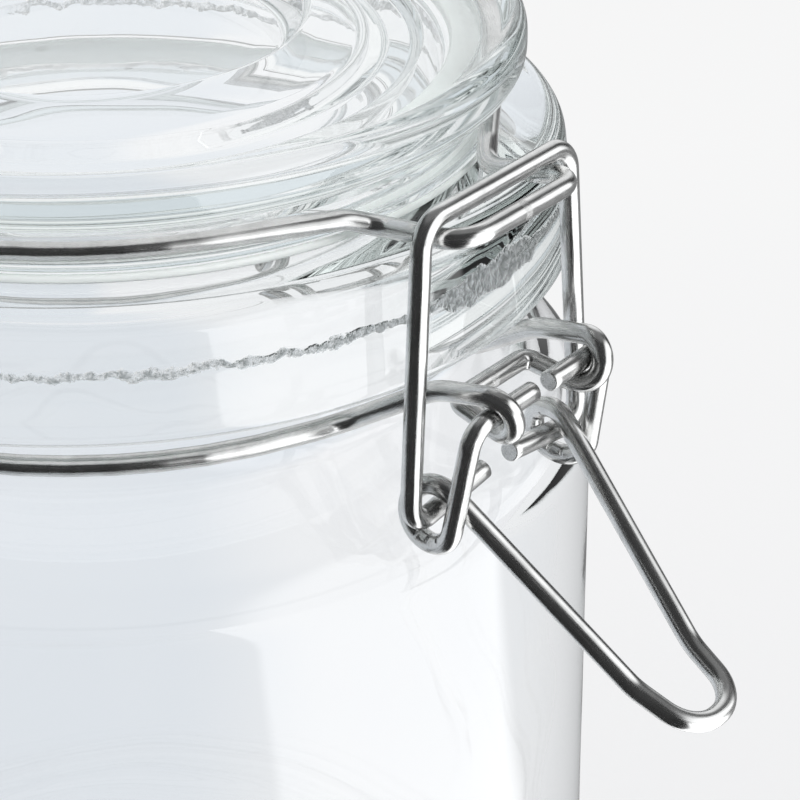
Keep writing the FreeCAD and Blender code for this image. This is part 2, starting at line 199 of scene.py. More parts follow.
jar_section = [
    (0, punt_height, None),
    (punt_radius, punt_height, 1 * mm),
    (foot_radius, 0, 1 * mm),
    (body_radius, 0, heel_round),
    (body_radius, shoulder, shoulder_round),
    (neck_radius, neck_plane - groove_half, neck_round),
    (neck_radius, neck_plane + groove_half, 1.44 * mm),
    (band_foot_radius, band_foot, band_foot_round),
    (band_top_radius, rim, band_top_round),
    (mouth_radius, rim, 1.4 * mm),
    (mouth_radius, neck_plane - groove_half + 0.2 * wall, neck_round),
    (body_radius - wall, shoulder - 0.6 * wall, 5 * mm),
    (body_radius - wall, base, heel_round),
    (0, base, None),
]
jar_line = bent_line([p[:2] for p in jar_section], [p[2] for p in jar_section], 3.0 * mm)

# %% [markdown]
# ### The mould's parting line
#
# The finish band is shaped by a ring of its own, and hot glass creeps into the joint. It leaves a low, crumbled
# ridge round the band. A texture alone would be flat against the light, so the ridge is in the mesh, which needs
# more rows of points there, and its crumbs come later from the material.

# %% More points across the parting line
parting_height = neck_plane + 15.6 * mm
on_band = np.flatnonzero((jar_line[:, 0] > 56 * mm) & (jar_line[:, 1] > neck_plane + 9 * mm)
                         & (jar_line[:, 1] < rim - 3.2 * mm))
first, last = jar_line[on_band[0]], jar_line[on_band[-1]]
rows = np.unique(np.concatenate([[first[1], last[1]], parting_height + np.linspace(-1.2, 1.2, 13) * mm]))
rows = rows[(rows >= first[1]) & (rows <= last[1])]
band = np.stack([np.interp(rows, [first[1], last[1]], [first[0], last[0]]), rows], axis=1)
jar_line = np.concatenate([jar_line[:on_band[0]], band, jar_line[on_band[-1] + 1:]])
print("jar section: %d points, %d of them on the band" % (len(jar_line), len(rows)))


# %% The jar's skin
inside_wave, outside_wave = 0.16 * mm, 0.03 * mm


def jar_unevenness(r, z):
    """The inside wave on the inner wall, and the outside wave elsewhere, fading towards the axis."""
    inside = (r < body_radius - 0.5 * wall) & (z > 5 * mm) & ((z < neck_plane - 5 * mm) | (r < mouth_radius + mm))
    return np.where(inside, inside_wave, outside_wave) * near_axis(r)


jar_rings = turned(jar_line, 400, jar_unevenness, 4)
print("the inner wall waves by %.2f mm, the outer by %.2f mm" % (inside_wave / mm, outside_wave / mm))

# %% The parting ridge
ridge_height, ridge_half_width, ridge_stray = 0.16 * mm, 0.35 * mm, 0.15 * mm

height = jar_rings[:, :, 2]
angle = np.arctan2(jar_rings[:, :, 0], -jar_rings[:, :, 1])
outside = (np.hypot(jar_rings[:, :, 0], jar_rings[:, :, 1]) > 55 * mm) & (height > neck_plane)
crest = parting_height + ridge_stray * wave(angle, 0, 21)
ridge = np.exp(-((height - crest) / ridge_half_width) ** 2) * (0.6 + 0.4 * wave(9 * angle, 0, 5)) * outside
jar_rings[:, :, :2] *= 1 + (ridge * ridge_height / body_radius)[:, :, None]
print("parting ridge: at %.1f mm, up to %.2f mm high" % (parting_height / mm, ridge.max() * ridge_height / mm))

jar = skin("jar", jar_rings[1:-1], start=[0, 0, jar_line[0, 1]], end=[0, 0, jar_line[-1, 1]])
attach(jar, "root")
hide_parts("jar_glass")

# %% [markdown]
# ## The lid
#
# A pressed disc: a plug that centres it in the mouth, a thin ledge on the seal, the groove for its wire, a
# bulging side and a shallow dish in the top. Pressed glass has no sharp edge, so every corner is rounded.

# %% The lid's half section
ledge_top = seat + 1.3 * mm
groove_top = ledge_top + 2.7 * mm
side_foot = seat + 6.9 * mm
plateau = lid_top - 0.7 * mm
dish_floor = plateau - 3.3 * mm
underside = dish_floor - 5.4 * mm
plug_foot = seat - 3.6 * mm
ledge_radius, groove_radius, lid_radius = 48.3 * mm, 46.1 * mm, 51.5 * mm
dish_radius, dish_floor_radius, plug_radius = 25.6 * mm, 23.2 * mm, 39.4 * mm
plug_round, ledge_round, groove_round = 0.88 * mm, 0.45 * mm, 0.3 * mm
side_round, dish_round = 3.2 * mm, 1.48 * mm

lid_section = [
    (0, underside, None),
    (32.8 * mm, underside, 1.8 * mm),
    (35.0 * mm, plug_foot, plug_round),
    (38.67 * mm, plug_foot, plug_round),
    (plug_radius, seat, groove_round),
    (ledge_radius, seat, ledge_round),
    (ledge_radius, ledge_top, ledge_round),
    (groove_radius, ledge_top, groove_round),
    (groove_radius, groove_top, groove_round),
    (48.5 * mm, groove_top, 0.96 * mm),
    (lid_radius, side_foot, side_round),
    (lid_radius, lid_top, side_round),
    (dish_radius, plateau, dish_round),
    (dish_floor_radius, dish_floor, dish_round),
    (0, dish_floor, None),
]
lid_line = bent_line([p[:2] for p in lid_section], [p[2] for p in lid_section], 2.0 * mm)
print("lid section: %d points" % len(lid_line))

# %% The lid's skin
lid_wave = 0.05 * mm

lid_rings = turned(lid_line, 400, lambda r, z: lid_wave * near_axis(r), 9)
lid = skin("lid", lid_rings[1:-1], start=[0, 0, lid_line[0, 1]], end=[0, 0, lid_line[-1, 1]])
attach(lid, "root")
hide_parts("lid_glass")

# %% [markdown]
# ## The seal
#
# A flat ring of clear silicone, squeezed between rim and lid. Squeezed rubber bulges a little at its edge, so
# its section has half-round sides. Two surfaces in one place would confuse the light that crosses them, so it is
# drawn 0.02 mm short of the glass above and below.

# %% The seal's skin
seal_gap, bulge = 0.02 * mm, 0.5 * mm
seal_inner, seal_outer = 42.6 * mm, seal_high[0]
seal_middle, seal_half = (seal_low[2] + seal_high[2]) / 2, (seal_high[2] - seal_low[2]) / 2 - seal_gap
f = np.linspace(-math.pi / 2, math.pi / 2, 9)
seal_line = np.concatenate([
    np.stack([seal_inner + bulge - bulge * np.cos(f), seal_middle + seal_half * np.sin(f)], axis=1)[::-1],
    np.stack([seal_outer - bulge + bulge * np.cos(f), seal_middle + seal_half * np.sin(f)], axis=1),
])
seal_rings = turned(seal_line, 300, lambda r, z: 0.02 * mm, 2)
seal = skin("seal", seal_rings, loop=True)
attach(seal, "root")
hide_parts("seal_ring")

# %% [markdown]
# ## The wires
#
# Four pieces of one round wire, bent cold on pins, so each is straight runs and arcs. The two halves of every
# wire mirror each other, so a wire is written from its middle to its end. A bevelled curve would be quicker, but
# its ends would be bare discs and no pattern could follow the wire.

# %% A round wire along its middle line
wire_radius = 1.2 * mm
wire_sides = 28
wire_step = 1.2 * mm
burr = 0.12 * mm
END_SHARES = [0.86, 0.9, 1]


def wire(name, half, body, node, loop=False):
    """A tube round a line that starts at x = 0, and its mirror image.

    Each ring is centre + radius (u cos a + v sin a), where u is carried from ring to ring by taking away its
    part along the new direction, and v = direction x u. The grain attribute is (r cos a, r sin a, length)
    in millimetres, so that a pattern can follow the wire.
    """
    other = half * [-1, 1, 1]
    line = np.concatenate([half, other[::-1][1:-1]]) if loop else np.concatenate([other[::-1], half[1:]])
    if loop:
        ahead, behind = np.roll(line, -1, axis=0), np.roll(line, 1, axis=0)
    else:
        ahead, behind = np.vstack([line[1:], line[-1:]]), np.vstack([line[:1], line[:-1]])
    direction = ahead - behind
    direction /= np.linalg.norm(direction, axis=1)[:, None]
    first = np.cross(direction[0], [0.3, 0.2, 1.0])
    sides = [first / np.linalg.norm(first)]
    for d in direction[1:]:
        side = sides[-1] - d * (d @ sides[-1])
        sides.append(side / np.linalg.norm(side))
    u = np.array(sides)
    v = np.cross(direction, u)
    angle = np.linspace(0, 2 * np.pi, wire_sides, endpoint=False)
    length = np.append(0, np.cumsum(np.linalg.norm(np.diff(line, axis=0), axis=1)))
    radius = np.full(len(line), wire_radius)
    tips = {}
    if not loop:
        # A sheared end: the last ring is repeated with its edge broken, then closed flat.
        ends = np.concatenate([[0, 0], np.arange(len(line)), [-1, -1]])
        line, u, v, length = line[ends], u[ends], v[ends], length[ends]
        line[2] += direction[0] * burr
        line[-3] -= direction[-1] * burr
        radius = np.concatenate([END_SHARES, np.ones(len(line) - 6), END_SHARES[::-1]]) * wire_radius
        tips = {"start": line[0], "end": line[-1]}
    c, s = np.cos(angle)[None, :, None], np.sin(angle)[None, :, None]
    rings = line[:, None] + radius[:, None, None] * (u[:, None] * c + v[:, None] * s)
    piece = skin(name, rings, loop=loop, **tips)
    grain = np.stack([
        np.broadcast_to(wire_radius / mm * np.cos(angle), rings.shape[:2]),
        np.broadcast_to(wire_radius / mm * np.sin(angle), rings.shape[:2]),
        np.broadcast_to(length[:, None] / mm, rings.shape[:2]),
    ], axis=-1).reshape(-1, 3)
    grain = np.vstack([grain, np.zeros((len(piece.data.vertices) - len(grain), 3))])
    piece.data.attributes.new("grain", "FLOAT_VECTOR", "POINT").data.foreach_set("vector", grain.ravel())
    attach(piece, body)
    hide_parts(node)
    return piece


# %% [markdown]
# ### Rings and coils
#
# Wire bent round a pin, or round the jar itself, follows a circle. It could be sampled as a circle, but then its
# joints with the straight runs would need tangents of their own. So a circle is given as corners of a polygon
# outside it, and the same rounding as everywhere else makes its arcs.

# %% Corners that round off to part of a circle
def circle_corners(radii, first, last, count, place):
    """Corners of a polygon round a circle: at mid-step angles, on radius / cos(half a step), so that arcs
    between them touch the circle. place turns (radius, angle, share of the way) into points."""
    share = (np.arange(count) + 0.5) / count
    angle = np.radians(first + (last - first) * share)
    reach = (radii[0] + (radii[1] - radii[0]) * share) / math.cos(math.radians(last - first) / count / 2)
    return place(reach, angle, share)


def level_ring(radius, height, first, last, count):
    """Corners of an arc of a level ring round the jar, angles counted from -Y towards +X."""
    return circle_corners((radius, radius), first, last, count, lambda reach, a, share: np.stack(
        [reach * np.sin(a), -reach * np.cos(a), height + 0 * a], axis=1))


def coil(centre_y, centre_z, radii, first, last, sides, count):
    """Corners of a turn round a line along X; angle 0 is outwards (-Y) and 90 is up."""
    return circle_corners(radii, first, last, count, lambda reach, a, share: np.stack(
        [sides[0] + (sides[1] - sides[0]) * share, centre_y - reach * np.cos(a), centre_z + reach * np.sin(a)],
        axis=1))


# %% [markdown]
# ### The neck wire
#
# It lies in the neck groove. In front it climbs out of the groove on both sides and curls down into two eyes
# that hold the lever's ends; a short bridge joins the eyes. Behind, the same shape holds the lid's hinge bar. One
# function gives the corners of both, and its ends meet in a loop.

# %% The eyes
ring_radius = neck_radius + 1.4 * mm
pivot = np.array([0, -65.1 * mm, neck_plane + 5.5 * mm])
hinge_reach = 65.2 * mm
eye = 2.52 * mm
eye_sides = (7.1 * mm, 9.7 * mm)
eye_start, eye_end = -128, 102
bridge_inset, bridge_half, bridge_drop, bridge_bend = 6.7 * mm, 6.7 * mm, 1.1 * mm, 1.6 * mm
climb_inset, climb_rise, climb_bend = 7.2 * mm, 0.55 * eye, 9 * mm
foot_side, foot_out, foot_rise, foot_bend = 1.4 * mm, 1.2 * mm, 0.2 * mm, 4.5 * mm
leave_degrees = 16
EYE_CORNERS, RING_CORNERS = 6, 12


def eyes(reach):
    """Corners from the bridge's middle, round one eye and in to the ring, for a clasp on the -Y side."""
    leave = math.radians(leave_degrees)
    bridge_y, bridge_z = bridge_inset - reach, pivot[2] - bridge_drop
    turn = coil(-reach, pivot[2], (eye, eye), eye_start, eye_end, eye_sides, EYE_CORNERS)
    bridge = [[0, bridge_y, bridge_z], [bridge_half, bridge_y, bridge_z]]
    climb = [[eye_sides[1], climb_inset - reach, pivot[2] + climb_rise],
             [ring_radius * math.sin(leave) - foot_side, -ring_radius * math.cos(leave) - foot_out,
              neck_plane + foot_rise]]
    bends = [None, bridge_bend] + [None] * EYE_CORNERS + [climb_bend, foot_bend]
    return np.array(bridge + turn.tolist() + climb), bends


# %% The neck wire
front, front_bends = eyes(-pivot[1])
back, back_bends = eyes(hinge_reach)
ring = level_ring(ring_radius, neck_plane, leave_degrees, 180 - leave_degrees, RING_CORNERS)
corners = np.concatenate([front, ring, (back * [1, -1, 1])[::-1]])
bends = front_bends + [None] * RING_CORNERS + back_bends[::-1]
neck_wire = wire("neck_ring", bent_line(corners, bends, wire_step), "root", "neck_wire", loop=True)

# %% [markdown]
# ### The lid wire
#
# It runs in the groove under the lid's bulge. In front it leaves the glass on both sides for the hook that the
# bail pulls on; behind it turns down outside the jar's band to the hinge bar. It is a loop as well.

# %% The lid wire
lid_plane = seat + 2.6 * mm
lid_ring = 47.5 * mm
hook_degrees, hinge_degrees = 33.5, 39
LID_RING_CORNERS = 10


def off_ring(leave, x):
    """How far out in Y a straight run that leaves the ring at this angle comes to half width x."""
    return (lid_ring - x * math.sin(math.radians(leave))) / math.cos(math.radians(leave))


hook_reach, hook_height, hook_x = 62.5 * mm, lid_plane + 0.2 * mm, 10.8 * mm
root_x, root_height = 9.9 * mm, lid_plane - 1.4 * mm
root_y = -off_ring(hook_degrees, root_x)
level_run = 3.4 * mm
level_x = root_x + level_run
hinge_x = 12.7 * mm
hook_bend, root_bend, ring_bend, hinge_bend = 3.6 * mm, 3.24 * mm, 4.5 * mm, 2.7 * mm

hook = [[0, -hook_reach, hook_height], [hook_x, -hook_reach, hook_height], [root_x, root_y, root_height],
        [level_x, -off_ring(hook_degrees, level_x), lid_plane]]
hinge = [[hinge_x, off_ring(hinge_degrees, hinge_x), lid_plane], [hinge_x, hinge_reach, lid_plane],
         [hinge_x, hinge_reach, pivot[2]], [0, hinge_reach, pivot[2]]]
ring = level_ring(lid_ring, lid_plane, hook_degrees, 180 - hinge_degrees, LID_RING_CORNERS)
corners = np.concatenate([hook, ring, hinge])
bends = ([None, hook_bend, root_bend, ring_bend] + [None] * LID_RING_CORNERS
         + [ring_bend, hinge_bend, hinge_bend, None])
lid_wire = wire("lid_ring", bent_line(corners, bends, wire_step), "root", "lid_wire", loop=True)

# %% [markdown]
# ### The lever and the bail
#
# The lever is the handle: a narrow loop whose legs each make a coil round the bail's pin, rise as cranks and
# turn inwards as pins through the eyes. The bail is a square loop over the hook, and its feet are those pins.

# %% The lever
coil_back, coil_drop = 5.8 * mm, 12.3 * mm
coil_y, coil_z = pivot[1] + coil_back, pivot[2] - coil_drop
coil_in, coil_out = 2.8 * mm, 3.8 * mm
handle_degrees, tip_degrees, crank_degrees = 42.6, 27, 13.5
handle_length, tip_length = 28.9 * mm, 8.2 * mm
crank_x, elbow_x, crimp_x, lever_pin_end = 13.5 * mm, 12.6 * mm, 5.9 * mm, 1.5 * mm
leg_inset = 2.5 * mm
tip_bend, crimp_bend, elbow_bend = 5.2 * mm, 9 * mm, 2.7 * mm
COIL_CORNERS = 9

slope, tip_slope = math.radians(handle_degrees), math.radians(tip_degrees)
leg_x = crank_x - leg_inset
leg_y, leg_z = coil_y - coil_in * math.sin(slope), coil_z + coil_in * math.cos(slope)
crimp = np.array([crimp_x, leg_y - handle_length * math.cos(slope), leg_z - handle_length * math.sin(slope)])
tip_x = crimp_x - (leg_x - crimp_x) * tip_length / handle_length
tip = np.array([tip_x, crimp[1] - tip_length * math.cos(tip_slope), crimp[2] - tip_length * math.sin(tip_slope)])
turn = coil(coil_y, coil_z, (coil_in, coil_out), 90 - handle_degrees, 360 - crank_degrees, (leg_x, crank_x),
            COIL_CORNERS)
corners = np.concatenate([[tip * [0, 1, 1], tip, crimp], turn,
                          [[elbow_x, pivot[1], pivot[2]], [lever_pin_end, pivot[1], pivot[2]]]])
bends = [None, tip_bend, crimp_bend] + [None] * COIL_CORNERS + [elbow_bend, None]
lever = wire("handle", bent_line(corners, bends, wire_step), "root", "lever")

# %% The bail
moving_gap = 0.3 * mm
foot_x, pin_end, slant = 16.3 * mm, 2.5 * mm, 1.7 * mm
crossbar_x, crossbar_inset = 13.6 * mm, 3.7 * mm
crossbar_bend, pin_bend = 3.4 * mm, 2.7 * mm

pin_y, pin_z = coil_y, coil_z + coil_in - 2 * wire_radius - moving_gap
foot_z = pin_z - slant * (foot_x - leg_x) / (foot_x - pin_end)
crossbar_y = -hook_reach + crossbar_inset
arm_height = root_height + (hook_height - root_height) * (crossbar_y - root_y) / (-hook_reach - root_y)
crossbar_z = arm_height + 2 * wire_radius + moving_gap
corners = [[0, crossbar_y, crossbar_z], [crossbar_x, crossbar_y, crossbar_z], [foot_x, pin_y, foot_z],
           [pin_end, pin_y, foot_z + slant]]
bends = [None, crossbar_bend, pin_bend, None]
bail = wire("bail_loop", bent_line(corners, bends, wire_step), "bail", "bail")

# %% [markdown]
# ## Finishes
#
# Each material starts from what the real one is. Colours are written as they look on a screen and turned to
# the linear values that the renderer adds up. Nodes are added by one function, and the settings that come up
# again and again have names.

# %% Colour and node helpers
SMOOTHSTEP = {"interpolation_type": "SMOOTHSTEP"}
DOT = {"operation": "DOT_PRODUCT"}
NUMBERS = {"data_type": "FLOAT"}
COLOURS = {"data_type": "RGBA"}
ADD, SUBTRACT, MULTIPLY = ({"operation": name} for name in ("ADD", "SUBTRACT", "MULTIPLY"))
ABSOLUTE, MINIMUM, COMPARE = ({"operation": name} for name in ("ABSOLUTE", "MINIMUM", "COMPARE"))


def linear(hexcode):
    """sRGB hex to linear RGBA: c / 12.92 below 0.04045, otherwise ((c + 0.055) / 1.055) ** 2.4."""
    c = np.array([int(hexcode[i:i + 2], 16) for i in (1, 3, 5)]) / 255
    return (*np.where(c <= 0.04045, c / 12.92, ((c + 0.055) / 1.055) ** 2.4).tolist(), 1.0)


def add(tree, kind, settings=None, **inputs):
    """Adds a node. settings are its properties; inputs are socket values, or output sockets to link. An
    input is named, or numbered as _0, _1 and so on."""
    node = tree.nodes.new(kind)
    for key, value in (settings or {}).items():
        setattr(node, key, value)
    for key, value in inputs.items():
        socket = node.inputs[int(key[1:])] if key[0] == "_" else node.inputs[key.replace("_", " ")]
        if isinstance(value, bpy.types.NodeSocket):
            tree.links.new(value, socket)
        else:
            socket.default_value = value
    return node


def soft_edge(tree, place, direction, low, high):
    """0 where the part of place along direction is below low, 1 where it is above high, and a smooth step of
    it between."""
    along = add(tree, "ShaderNodeVectorMath", DOT, _0=place, _1=direction).outputs["Value"]
    return add(tree, "ShaderNodeMapRange", SMOOTHSTEP, _0=along, _1=low, _2=high, _3=0.0, _4=1.0).outputs[0]


def new_material(name):
    """An empty node material and its output."""
    material = bpy.data.materials.new(name)
    material.use_nodes = True
    material.node_tree.nodes.clear()
    return material, material.node_tree, add(material.node_tree, "ShaderNodeOutputMaterial")


def lets_light_through(tree, surface):
    """The surface, but see-through to shadow rays, as clear glass and silicone let most light by."""
    shadow = add(tree, "ShaderNodeLightPath").outputs["Is Shadow Ray"]
    through = add(tree, "ShaderNodeBsdfTransparent", Color=linear("#F2F6F5"))
    return add(tree, "ShaderNodeMixShader", _0=shadow, _1=surface, _2=through.outputs[0]).outputs[0]


print("white is", linear("#FFFFFF"))


# %% [markdown]
# ### Crumbled glass at the parting line
#
# Where glass crept into the mould's joint it is chipped: it scatters light and looks dark against a clear wall.
# It is the same glass with a coarse bump and a darker tone, held to a thin line round the band. At two places,
# front and back, the mould's halves met as well, and there the crumbs spread up and down the band.

# %% The rough line where the mould's parts met
seam_half, seam_edge, seam_stray = 0.3 * mm, 0.55 * mm, 0.5 * mm
joint_spread = 1.3 * mm
joint_direction = (0.07, -0.9975, 0)


def seam_relief(tree, place, normal):
    """The normal, the colour and the place of the parting line's crumbs, 0.7 mm grit.

    d = |z - parting height + noise| less the joint's spread. Crumbs are full below seam_half and gone above
    seam_edge, times a slow noise that thins them in places. The mask is 1 within 3 mm of the line.
    """
    height = add(tree, "ShaderNodeSeparateXYZ", _0=place).outputs[2]
    stray = add(tree, "ShaderNodeTexNoise", Vector=place, Scale=1 / (2.5 * mm), Detail=3.0).outputs[0]
    stray = add(tree, "ShaderNodeMapRange", _0=stray, _1=0.3, _2=0.7, _3=-seam_stray, _4=seam_stray).outputs[0]
    off = add(tree, "ShaderNodeMath", SUBTRACT, _0=height, _1=parting_height).outputs[0]
    near_band = add(tree, "ShaderNodeMath", COMPARE, _0=off, _1=0.0, _2=3 * mm).outputs[0]
    off = add(tree, "ShaderNodeMath", ADD, _0=off, _1=stray).outputs[0]
    off = add(tree, "ShaderNodeMath", ABSOLUTE, _0=off).outputs[0]
    reach = add(tree, "ShaderNodeVectorMath", DOT, _0=place, _1=joint_direction).outputs["Value"]
    reach = add(tree, "ShaderNodeMath", ABSOLUTE, _0=reach).outputs[0]
    joint = add(tree, "ShaderNodeMapRange", SMOOTHSTEP, _0=reach, _1=55.5 * mm, _2=56.4 * mm, _3=0.0,
                _4=1.0).outputs[0]
    spread = add(tree, "ShaderNodeMix", NUMBERS, _0=joint, _2=0.0, _3=joint_spread).outputs[0]
    off = add(tree, "ShaderNodeMath", SUBTRACT, _0=off, _1=spread).outputs[0]
    near = add(tree, "ShaderNodeMapRange", _0=off, _1=seam_half, _2=seam_edge, _3=1.0, _4=0.0).outputs[0]
    there = add(tree, "ShaderNodeTexNoise", Vector=place, Scale=1 / (16 * mm), Detail=1.0).outputs[0]
    there = add(tree, "ShaderNodeMapRange", _0=there, _1=0.3, _2=0.45, _3=0.0, _4=1.0).outputs[0]
    share = add(tree, "ShaderNodeMath", MULTIPLY, _0=near, _1=there).outputs[0]
    grit = add(tree, "ShaderNodeTexNoise", Vector=place, Scale=1 / (0.7 * mm), Detail=4.0, Roughness=0.7).outputs[0]
    relief = add(tree, "ShaderNodeMath", MULTIPLY, _0=grit, _1=share).outputs[0]
    chips = add(tree, "ShaderNodeMapRange", _0=grit, _1=0.42, _2=0.58, _3=0.25, _4=0.9).outputs[0]
    dark = add(tree, "ShaderNodeMath", MULTIPLY, _0=chips, _1=share).outputs[0]
    colour = add(tree, "ShaderNodeMix", COLOURS, _0=dark, _6=linear("#FFFFFF"), _7=linear("#59605E"))
    bumped = add(tree, "ShaderNodeBump", Height=relief, Strength=1.0, Distance=0.9 * mm, Normal=normal)
    return bumped.outputs[0], colour.outputs[2], near_band


print("parting line: crumbs within %.1f mm, and %.1f mm more at the joints" % (seam_edge / mm, joint_spread / mm))


# %% [markdown]
# ### Soda-lime glass
#
# Clear jar glass has an index of 1.52 and a faint green from iron, which only thick or edge-on glass shows, so
# the colour is an absorption inside. Its skin is fire-smooth but never flat: slow waves bend what is seen
# through it. The crumbled glass is a second shader that is worked out only near the parting line.

# %% Clear jar glass
def clear_glass(name, swell_mm, swell_depth, seam=False):
    """Refracting glass with a slow unevenness, given as a wavelength in mm and a depth in mm."""
    material, tree, out = new_material(name)
    place = add(tree, "ShaderNodeTexCoord").outputs["Object"]
    stretched = add(tree, "ShaderNodeMapping", _0=place, _3=(1, 1, 0.45)).outputs[0]
    swell = add(tree, "ShaderNodeTexNoise", Vector=stretched, Scale=1 / (swell_mm * mm), Detail=0.6, Roughness=0.4)
    low = add(tree, "ShaderNodeBump", Height=swell.outputs[0], Strength=1.0, Distance=swell_depth * mm).outputs[0]
    surface = add(tree, "ShaderNodeBsdfPrincipled", Base_Color=linear("#FFFFFF"), Roughness=0.0, IOR=1.52,
                  Transmission_Weight=1.0, Normal=low).outputs[0]
    if seam:
        normal, colour, near_band = seam_relief(tree, place, low)
        crumbled = add(tree, "ShaderNodeBsdfPrincipled", Base_Color=colour, Roughness=0.0, IOR=1.52,
                       Transmission_Weight=1.0, Normal=normal)
        surface = add(tree, "ShaderNodeMixShader", _0=near_band, _1=surface, _2=crumbled.outputs[0]).outputs[0]
    tint = add(tree, "ShaderNodeVolumeAbsorption", Color=linear("#DDEAE6"), Density=5.0)
    tree.links.new(lets_light_through(tree, surface), out.inputs["Surface"])
    tree.links.new(tint.outputs[0], out.inputs["Volume"])
    print("%s: index 1.52, swells %d mm long" % (name, swell_mm))
    return material


jar.data.materials.append(clear_glass("Blown soda-lime glass", 16, 0.10, seam=True))
lid.data.materials.append(clear_glass("Pressed soda-lime glass", 20, 0.12))


# %% [markdown]
# ### Clear silicone
#
# Silicone is softer looking than glass: index 1.41, and milky enough to look pale rather than dark where light
# is caught in it, so more than half of it is a white body. It is matt where it was cut.

# %% Clear silicone
silicone, tree, out = new_material("Clear silicone rubber")
place = add(tree, "ShaderNodeTexCoord").outputs["Object"]
grain = add(tree, "ShaderNodeTexNoise", Vector=place, Scale=1 / (0.5 * mm), Detail=3.0)
cut = add(tree, "ShaderNodeBump", Height=grain.outputs[0], Strength=0.6, Distance=0.03 * mm)
milky = add(tree, "ShaderNodeBsdfPrincipled", Base_Color=linear("#FAFCFB"), Roughness=0.2, IOR=1.41,
            Transmission_Weight=0.4, Normal=cut.outputs[0])
tree.links.new(lets_light_through(tree, milky.outputs[0]), out.inputs["Surface"])
seal.data.materials.append(silicone)
print("silicone: index 1.41, cut with a 0.5 mm grain")

# %% [markdown]
# ### Bright drawn steel wire
#
# Stainless wire pulled through a die is bright, with fine lines along its length and a duller bloom in patches.
# The lines are about 0.05 mm apart on real wire; they're drawn at 0.3 mm, as coarse as they need to be to show.

# %% Drawn stainless wire
line_mm, bloom_mm = 0.3, 3.0

drawn, tree, out = new_material("Bright drawn stainless steel wire")
along = add(tree, "ShaderNodeAttribute", {"attribute_name": "grain"}).outputs["Vector"]
lengthways = add(tree, "ShaderNodeMapping", _0=along, _3=(1, 1, 0.03)).outputs[0]
lines = add(tree, "ShaderNodeTexNoise", Vector=lengthways, Scale=1 / line_mm, Detail=3.0, Roughness=0.6)
bloom = add(tree, "ShaderNodeTexNoise", Vector=along, Scale=1 / bloom_mm, Detail=3.0, Roughness=0.55)
tone = add(tree, "ShaderNodeValToRGB", _0=bloom.outputs[0])
for stop, position, colour in zip(tone.color_ramp.elements, (0.35, 0.65), ("#C9C9C8", "#DDDDDC")):
    stop.position, stop.color = position, linear(colour)
rough = add(tree, "ShaderNodeMapRange", _0=lines.outputs[0], _1=0.3, _2=0.7, _3=0.16, _4=0.32)
scored = add(tree, "ShaderNodeBump", Height=lines.outputs[0], Strength=0.7, Distance=0.03 * mm)
metal = add(tree, "ShaderNodeBsdfPrincipled", Base_Color=tone.outputs[0], Metallic=1.0,
            Roughness=rough.outputs[0], Normal=scored.outputs[0])
tree.links.new(metal.outputs[0], out.inputs["Surface"])
for piece in (neck_wire, lid_wire, lever, bail):
    piece.data.materials.append(drawn)
print("wire: lines %.1f mm apart, bloom %.0f mm wide" % (line_mm, bloom_mm))

# %% [markdown]
# ## The table and the room
#
# Clear glass and bright wire have hardly any colour of their own: they show the room. So the room is drawn with
# care. The camera sees a pale table, with a painted shade that darkens it near the camera, and glass lets one be
# seen through it, with a painted blue-grey shade on its left. Reflections see what a studio puts round bright
# things: a white card in front and to the right, and dark cloth elsewhere, which gives each wire a black side and
# a white one.

# %% The pale table's top
TABLE_REACH = 6

tabletop = bpy.data.meshes.new("table")
tabletop.from_pydata([(x * TABLE_REACH, y * TABLE_REACH, 0) for x, y in ((-1, -1), (1, -1), (1, 1), (-1, 1))],
                     [], [(0, 1, 2, 3)])
table = bpy.data.objects.new("table", tabletop)
bpy.context.scene.collection.objects.link(table)

print("table: %d m square" % (2 * TABLE_REACH))

table_white, tree, out = new_material("Pale matt table")
place = add(tree, "ShaderNodeTexCoord").outputs["Object"]
path = add(tree, "ShaderNodeLightPath").outputs
table.data.materials.append(table_white)


# %% What reflections see on the table
def inside_glass(tree, path, level):
    """level, but nearer to 0.8 by 0.7 for a reflection seen through glass, or the glass fills with dark room."""
    been = add(tree, "ShaderNodeMath", MINIMUM, _0=path["Transmission Depth"], _1=1.0).outputs[0]
    share = add(tree, "ShaderNodeMath", MULTIPLY, _0=been, _1=0.7).outputs[0]
    return add(tree, "ShaderNodeMix", NUMBERS, _0=share, _2=level, _3=0.8).outputs[0]


DARK_CLOTH, GREY_CLOTH, WHITE_CARD = 0.04, 0.3, 2.2
from_left = soft_edge(tree, place, (0.886, -0.463, 0), 26 * mm, 36 * mm)
before_right = soft_edge(tree, place, (-0.774, -0.633, 0), -14 * mm, 4 * mm)
card = add(tree, "ShaderNodeMath", MULTIPLY, _0=from_left, _1=before_right).outputs[0]
behind = soft_edge(tree, place, (0.97, 0.25, 0), 0.0, 100 * mm)
cloth = add(tree, "ShaderNodeMix", NUMBERS, _0=behind, _2=DARK_CLOTH, _3=GREY_CLOTH).outputs[0]
mirrored = add(tree, "ShaderNodeMix", NUMBERS, _0=card, _2=cloth, _3=WHITE_CARD).outputs[0]
glint = add(tree, "ShaderNodeEmission", Color=linear("#FAFBFC"), Strength=inside_glass(tree, path, mirrored))
print("reflections see levels from %.2f to %.1f on the table" % (DARK_CLOTH, WHITE_CARD))
